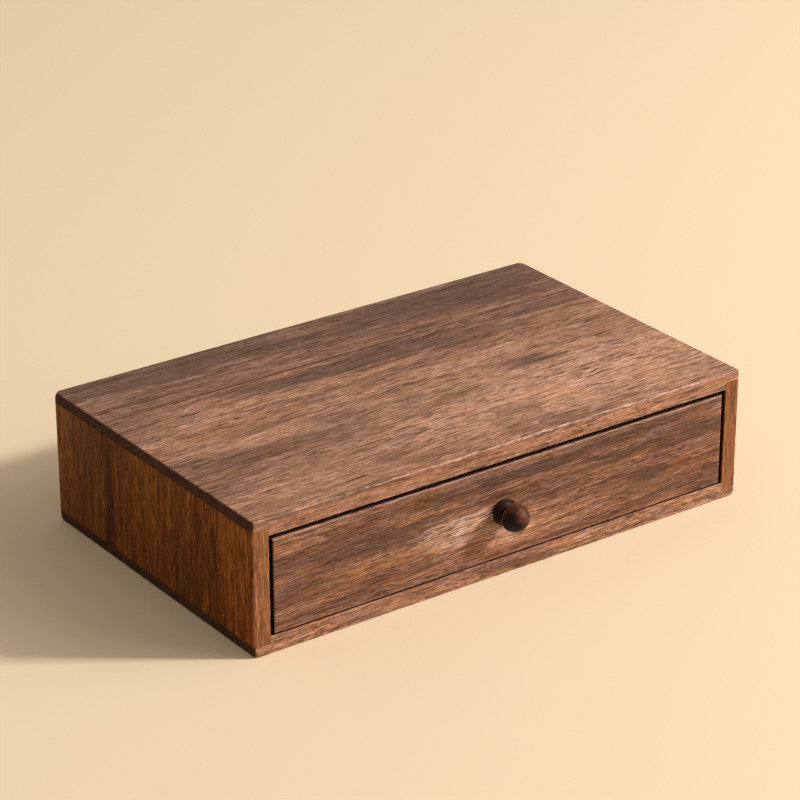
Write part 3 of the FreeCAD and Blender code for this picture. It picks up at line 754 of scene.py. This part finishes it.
# Look of the left side, with painted shade on its faces; edge_tint and calm bring the faces turned to the
# front and back up to the lit walnut's colour.
LEFT_SHADED_LOOK = dict(grain="z", fineness=0.7, wander=0.4, contrast=1.15, shine=0.06,
                 wear_glint_colour=srgb(168, 124, 106), edge_tint=(1.27, 1.7, 4.9, 1),
                 calm=0.3, hue=0.8, paler_by=(1.85, 2.2, 3.0, 1))
RIGHT_LOOK = dict(grain="z", fineness=0.7, wander=0.4, contrast=0.9, shine=0.15, palette=RIGHT_WOOD,
                  wear_glint_colour=srgb(172, 120, 90), edge_tint=(1.06, 0.92, 0.7, 1), calm=0.3)
BOARD_LOOKS = {
    "top_board_front": dict(TOP_LOOK, seed=1.0, palette=TOP_WOOD, stains_and_shade=TOP_STAINS, lean_deg=-1.2),
    "top_board_rear": dict(TOP_LOOK, seed=2.0, palette=REAR_WOOD, stains_and_shade=REAR_STAINS, lean_deg=0.8),
    "bottom_board_front": dict(RAIL_LOOK, hue=0.9, seed=3.0, palette=FRAME_WOOD, lean_deg=0.6),
    "bottom_board_rear": dict(TOP_LOOK, seed=4.0, palette=REAR_WOOD, lean_deg=-0.5),
    "left_side_board_front": dict(LEFT_SHADED_LOOK, seed=5.0, palette=LEFT_SHADED_WOOD, stains_and_shade=SIDE_STAINS),
    "left_side_board_rear": dict(LEFT_SHADED_LOOK, seed=6.0, palette=LEFT_REAR_SHADED_WOOD),
    "right_side_board_front": dict(RIGHT_LOOK, seed=7.0),
    "right_side_board_rear": dict(RIGHT_LOOK, seed=8.0),
    "back_panel": dict(grain="x_upright", seed=9.0, palette=REAR_WOOD, lean_deg=1.0, rough=0.52),
}


# ---- Case boards -------------------------------------------------------------------------------


def case_edge_radius(middle, direction):
    """Rounding of a case board's edge, by where the edge runs."""
    touched = planes_touched(middle, case)
    if touched >= 2:
        upright = abs(direction.z) > 0.9
        if abs(direction.y) > 0.9:
            return END_ARRIS
        return REAR_POST if upright and middle.y > 0 else ARRIS
    at_front = abs(middle.y - case[0].y) < SAME
    above = abs(middle.z - top_box[0].z) < SAME and abs(middle.x) < INNER_X
    below = abs(middle.z - bottom_box[1].z) < SAME and abs(middle.x) < INNER_X
    if at_front and (above or below):
        return MOUTH
    if abs(middle.y - SEAM_Y) > SAME:
        return JOINT
    return TOP_SEAM if middle.z > case[1].z - SAME else SEAM


def case_cuts(name):
    """What the end rabbets and the back panel's rabbets take out of a case board."""
    cuts = [box_with(back_box, y1=case[1].y + MM)]
    if "side" in name:
        return cuts
    for low, high in ((case[0].x - MM, -INNER_X), (INNER_X, case[1].x + MM)):
        cuts.append(box_with(case, x0=low, x1=high, y0=case[0].y - MM, y1=case[1].y + MM,
                             z0=right_side[0].z, z1=right_side[1].z))
    return cuts


def mouth_shade(point, normal):
    """Painted shade on faces inside the drawer opening, just behind its eased edge."""
    eased = MOUTH * 0.6
    behind = point.y > case[0].y + MOUTH * 0.7
    between = bottom_box[1].z - eased < point.z < top_box[0].z + eased
    inside = abs(point.x) < INNER_X + eased and between
    return 1.0 if behind and inside and abs(normal.y) < 0.9 else 0.0


def make_case_board(name, seed):
    obj = from_bmesh(name + "_wood", cuboid_solid([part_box(name)], case_cuts(name)))
    ease_edges(obj, case_edge_radius)
    weather(obj, case, seed, shade_in_gap=mouth_shade)
    return obj


def dress(obj, material):
    obj.data.materials.clear()
    obj.data.materials.append(material)


def paint_node(name, material):
    """Puts a material on a CAD node that is shown as it is."""
    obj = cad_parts[name]
    for item in obj.material_slots:
        item.material = material


def ease_node(name, radius):
    """Eases the sharp edges of a CAD node that is shown as it is."""
    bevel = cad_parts[name].modifiers.new("ease", "BEVEL")
    bevel.width = radius
    bevel.segments = NODE_STEPS
    bevel.limit_method = "ANGLE"
    bevel.angle_limit = math.radians(SHARP_DEG)
    bevel.harden_normals = True


for number, board_name in enumerate(CASE_BOARDS):
    board = make_case_board(board_name, number + 1)
    dress(board, walnut(board_name + "_walnut", **BOARD_LOOKS[board_name]))
    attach(board, "case")
    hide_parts(board_name)

panel = from_bmesh("back_panel_wood", cuboid_solid([back_box]))
ease_edges(panel, lambda middle, direction: PANEL_EASE)
weather(panel, back_box, 11)
dress(panel, walnut("back_panel_walnut", **BOARD_LOOKS["back_panel"]))
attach(panel, "case")
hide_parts("back_panel")


# ---- Drawer front --------------------------------------------------------------------------------


def front_edge_shade(point, normal):
    """Painted shade on the drawer front's own edges, behind the rounding of its face. Along the left edge
    it starts nearer the face than along the others.
    """
    behind = point.y - front_box[0].y
    if abs(normal.y) > 0.93 or behind > front_box[1].y - front_box[0].y - 0.1 * MM:
        return 0.0
    start = FACE_ROUND * (0.2 if normal.x < -0.3 else 0.65)
    return min(max((behind - start) / (FACE_ROUND * 0.4), 0.0), 1.0)


def make_drawer_front():
    """Drawer front with end laps, the groove for the bottom and the spindle's hole."""
    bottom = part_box("drawer_bottom")
    groove_gap = 0.4 * MM
    laps = [
        box_with(front_box, x0=x0, x1=x1, y0=drawer_side[0].y, y1=front_box[1].y + MM,
                 z0=front_box[0].z - MM, z1=drawer_side[1].z)
        for x0, x1 in ((drawer_side[0].x, front_box[1].x + MM), (front_box[0].x - MM, -drawer_side[0].x))
    ]
    groove = box_with(bottom, x0=bottom[0].x - groove_gap, x1=bottom[1].x + groove_gap,
                      y0=bottom[0].y - groove_gap, y1=front_box[1].y + MM, z1=bottom[1].z + groove_gap / 2)
    obj = from_bmesh("drawer_front_wood", cuboid_solid([front_box], laps + [groove]))

    def radius(middle, direction):
        if abs(middle.y - front_box[0].y) > SAME:
            return LAP_EASE
        return FACE_ROUND / 2 if abs(middle.z - front_box[0].z) < SAME else FACE_ROUND

    ease_edges(obj, radius)
    hole = Vector((KNOB_X, front_box[0].y - MM, KNOB_Z))
    bore(obj, hole, (0, 1, 0), front_box[1].y - front_box[0].y + 2 * MM, BORE_R)
    weather(obj, front_box, 21, shade_in_gap=front_edge_shade)
    return obj


drawer_front = make_drawer_front()
dress(drawer_front, walnut("drawer_front_walnut", grain="x_upright", seed=12.0, palette=DRAWER_WOOD,
                           stains_and_shade=DRAWER_STAINS, lean_deg=-1.6, wander=0.8, fineness=0.8, contrast=1.15,
                           hue=1.0, wear_glint_colour=srgb(156, 124, 108), paler_by=(1.52, 1.75, 2.35, 1)))
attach(drawer_front, "drawer")
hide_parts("drawer_front")


# ---- Knob ----------------------------------------------------------------------------------------


def arc(start, end, bulge, count):
    """Points from start to end, short of end, on a parabola that bulges outwards, or inwards below 0."""
    a, b = Vector(start), Vector(end)
    side = Vector((b.y - a.y, a.x - b.x)).normalized() * bulge
    points = []
    for n in range(count):
        s = n / count
        points.append(a.lerp(b, s) + side * (4 * s * (1 - s)))
    return points


HEAD_STEPS = 22                     # points of the profile along the knob's head
RIM_GLINT = {HEAD_STEPS + 1: 0.9, HEAD_STEPS + 2: 0.9}     # painted highlight just behind the head's widest ring
COVE_FROM, COVE_MIDDLE, COVE_TO = 30, 42, 50      # points of the profile along the hollow behind the head
# painted shade on the hollow behind the head and on the flange's front, heavier nearer the head
COVE_SHADE = {n: 0.75 if n < COVE_MIDDLE else 0.35 for n in range(COVE_FROM, COVE_TO)}


def knob_profile():
    """(radius, distance out from the drawer front's face), from the head's pole to the spindle's end."""
    head_r = (knob_box[1].z - knob_box[0].z) / 2 - 0.01 * MM
    reach = front_box[0].y - knob_box[0].y
    rim = reach - 9.2 * MM
    flange = head_r * 0.965
    seat = 0.2 * MM
    tail = front_box[0].y - knob_box[1].y
    chamfer = 0.3 * MM
    chin = (head_r - 0.7 * MM, rim - 1.5 * MM)
    neck = (4.4 * MM, 7.0 * MM)
    waist = (4.6 * MM, 5.2 * MM)
    shoulder = (flange - 0.7 * MM, 2.6 * MM)
    brim = (flange, 1.8 * MM)
    foot = (flange - 0.25 * MM, seat)
    points = []
    for n in range(HEAD_STEPS):
        turn = math.pi / 2 * n / HEAD_STEPS
        points.append(Vector((head_r * math.sin(turn), rim + (reach - rim) * math.cos(turn))))
    corners = ((head_r, rim), chin, neck, waist, shoulder, brim, foot)
    bulges = (-0.18, 0.5, 0.15, 0.7, -0.2, -0.05)
    counts = (5, 8, 4, 8, 5, 3)
    for start, end, bulge, count in zip(corners, corners[1:], bulges, counts):
        points += arc(start, end, bulge * MM, count)
    ends = (foot, (SPINDLE_R, seat), (SPINDLE_R, tail + chamfer), (SPINDLE_R - chamfer, tail), (0, tail))
    return points + [Vector(end) for end in ends]


def lathe(name, profile, centre, segments, rub_glint, ring_shade):
    """Turns a profile about the Y axis through centre. The last two arguments give, ring by ring, the wear
    with its painted highlight and the painted shade.
    """
    bm = bmesh.new()
    wear_and_glint = bm.verts.layers.float.new("wear_and_glint")
    painted_shade = bm.verts.layers.float.new("painted_shade")
    rings = []
    for point in profile:
        y = centre.y - point.y
        if point.x < SAME:
            rings.append([bm.verts.new((centre.x, y, centre.z))])
            continue
        rings.append([
            bm.verts.new((centre.x + point.x * math.cos(2 * math.pi * n / segments), y,
                          centre.z + point.x * math.sin(2 * math.pi * n / segments)))
            for n in range(segments)
        ])
    for a, b in zip(rings, rings[1:]):
        for n in range(segments):
            m = (n + 1) % segments
            if len(a) == 1:
                bm.faces.new((a[0], b[n], b[m]))
            elif len(b) == 1:
                bm.faces.new((a[n], b[0], a[m]))
            else:
                bm.faces.new((a[n], b[n], b[m], a[m]))
    bmesh.ops.recalc_face_normals(bm, faces=bm.faces[:])
    for face in bm.faces:
        face.smooth = True
    for index, ring in enumerate(rings):
        for v in ring:
            v[wear_and_glint] = rub_glint.get(index, 0.0)
            v[painted_shade] = ring_shade.get(index, 0.0)
    obj = from_bmesh(name, bm)
    obj.data.set_sharp_from_angle(angle=math.radians(SHARP_DEG))
    return obj


knob_centre = Vector((KNOB_X, front_box[0].y, KNOB_Z))
knob = lathe("knob_turned", knob_profile(), knob_centre, KNOB_SIDES, RIM_GLINT, COVE_SHADE)
dress(knob, walnut("knob_walnut", grain="x_upright", seed=15.0, palette=KNOB_WOOD, stains_and_shade=KNOB_PAINTED_SHADE,
                   wander=0.3, fineness=0.55, contrast=0.7, rings=0.1, pores=0.4, rough=0.48, shine=0.17,
                   end_dark=0.0, wear_glint_colour=srgb(150, 122, 106)))
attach(knob, "knob")
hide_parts("knob")


# ---- Pieces shown with their CAD shape -----------------------------------------------------------

MAPLE_LOOK = dict(grain="x", palette=MAPLE, fineness=0.4, wander=0.6, contrast=0.3, pores=0.12, rings=0.25,
                  cloud=0.5, rough=0.5, end_dark=0.2, paler_by=(1.2, 1.22, 1.25, 1))
BEECH_LOOK = dict(palette=BEECH, fineness=1.2, contrast=0.4, pores=0.3, rings=0.3, rough=0.48, end_dark=0.3,
                  paler_by=(1.25, 1.28, 1.3, 1))
maple_side = walnut("drawer_side_maple", seed=31.0, **dict(MAPLE_LOOK, grain="y"))
maple_sheet = walnut("drawer_bottom_maple", seed=33.0, **MAPLE_LOOK)
maple_upright = walnut("drawer_back_maple", seed=34.0, **dict(MAPLE_LOOK, grain="x_upright"))
beech = walnut("latch_beech", grain="x_upright", seed=35.0, **BEECH_LOOK)
screw_steel = steel("screw_steel")
CAD_LOOKS = (
    (maple_side, 0.5 * MM, ("drawer_left_side", "drawer_right_side", "left_runner", "right_runner")),
    (maple_sheet, 0.0, ("drawer_bottom",)),
    (maple_upright, 0.5 * MM, ("drawer_back", "lock_rail", "drawer_stops")),
    (beech, 0.4 * MM, ("latch_block", "latch_arm")),
    (beech, 0.0, ("latch_stop_pegs", "drawer_pegs")),
    (screw_steel, 0.0, ("runner_screws", "rail_screws", "bottom_brads", "latch_cross_pin")),
)
for node_material, easing, node_names in CAD_LOOKS:
    for node_name in node_names:
        paint_node(node_name, node_material)
        if easing:
            ease_node(node_name, easing)


# ---- Floor, light and camera -----------------------------------------------------------------------


FLOOR_COLOUR = srgb(238, 217, 186)
FLOOR_HALF = 12.0                       # half the floor's width
FILL_COLOUR = (1.0, 0.9, 0.78, 1)
FILL_STRENGTH = 0.41
KEY_DIRECTION = (0.68, -0.53, 0.51)     # from the case towards both lights
KEY_DISTANCE = 4.5
KEY_COLOUR = (1.0, 0.962, 0.925)
CAMERA_DEG = (-35.75, 24.51, -0.10)     # azimuth, elevation and roll
CAMERA_REACH = 5.305 * WIDTH            # distance from the target
TARGET = (0.0018 * WIDTH, 0, 0.2024 * WIDTH)     # what the camera looks at
SENSOR_MM = 36.0
LENS_MM = 139.8


def make_floor():
    """Large flat pale floor."""
    material = bpy.data.materials.new("pale_floor")
    material.use_nodes = True
    shader = material.node_tree.nodes["Principled BSDF"]
    shader.inputs["Base Color"].default_value = FLOOR_COLOUR
    shader.inputs["Roughness"].default_value = 0.7
    shader.inputs["Specular IOR Level"].default_value = 0.1
    bm = bmesh.new()
    bmesh.ops.create_grid(bm, x_segments=2, y_segments=2, size=FLOOR_HALF)
    floor = from_bmesh("floor", bm)
    dress(floor, material)


def key_light(name, size, watts):
    """Square area light in the key direction, which looks at the middle of the case."""
    data = bpy.data.lights.new(name, "AREA")
    data.shape = "SQUARE"
    data.size = size
    data.energy = watts
    data.color = KEY_COLOUR
    lamp = bpy.data.objects.new(name, data)
    bpy.context.collection.objects.link(lamp)
    away = Vector(KEY_DIRECTION).normalized()
    lamp.location = (case[0] + case[1]) / 2 + away * KEY_DISTANCE
    lamp.rotation_mode = "QUATERNION"
    lamp.rotation_quaternion = away.to_track_quat("Z", "Y")


def make_camera():
    """Camera at the object's usual three-quarter view from the left, a long lens a little above it."""
    azimuth, elevation, roll = (math.radians(angle) for angle in CAMERA_DEG)
    away = Vector((math.sin(azimuth) * math.cos(elevation), -math.cos(azimuth) * math.cos(elevation),
                   math.sin(elevation)))
    data = bpy.data.cameras.new("camera")
    data.sensor_width = SENSOR_MM
    data.lens = LENS_MM
    data.clip_start = 0.05
    camera = bpy.data.objects.new("camera", data)
    bpy.context.collection.objects.link(camera)
    camera.location = Vector(TARGET) + away * CAMERA_REACH
    camera.rotation_mode = "QUATERNION"
    camera.rotation_quaternion = away.to_track_quat("Z", "Y") @ Euler((0, 0, roll)).to_quaternion()
    bpy.context.scene.camera = camera


def make_world():
    """Even warm light from all round."""
    world = bpy.data.worlds.new("studio")
    world.use_nodes = True
    background = world.node_tree.nodes["Background"]
    background.inputs[0].default_value = FILL_COLOUR
    background.inputs[1].default_value = FILL_STRENGTH
    bpy.context.scene.world = world


make_floor()
make_world()
key_light("key", size=0.4, watts=192)
key_light("broad_key", size=3.0, watts=84)
bpy.context.scene.view_settings.view_transform = "Standard"
make_camera()
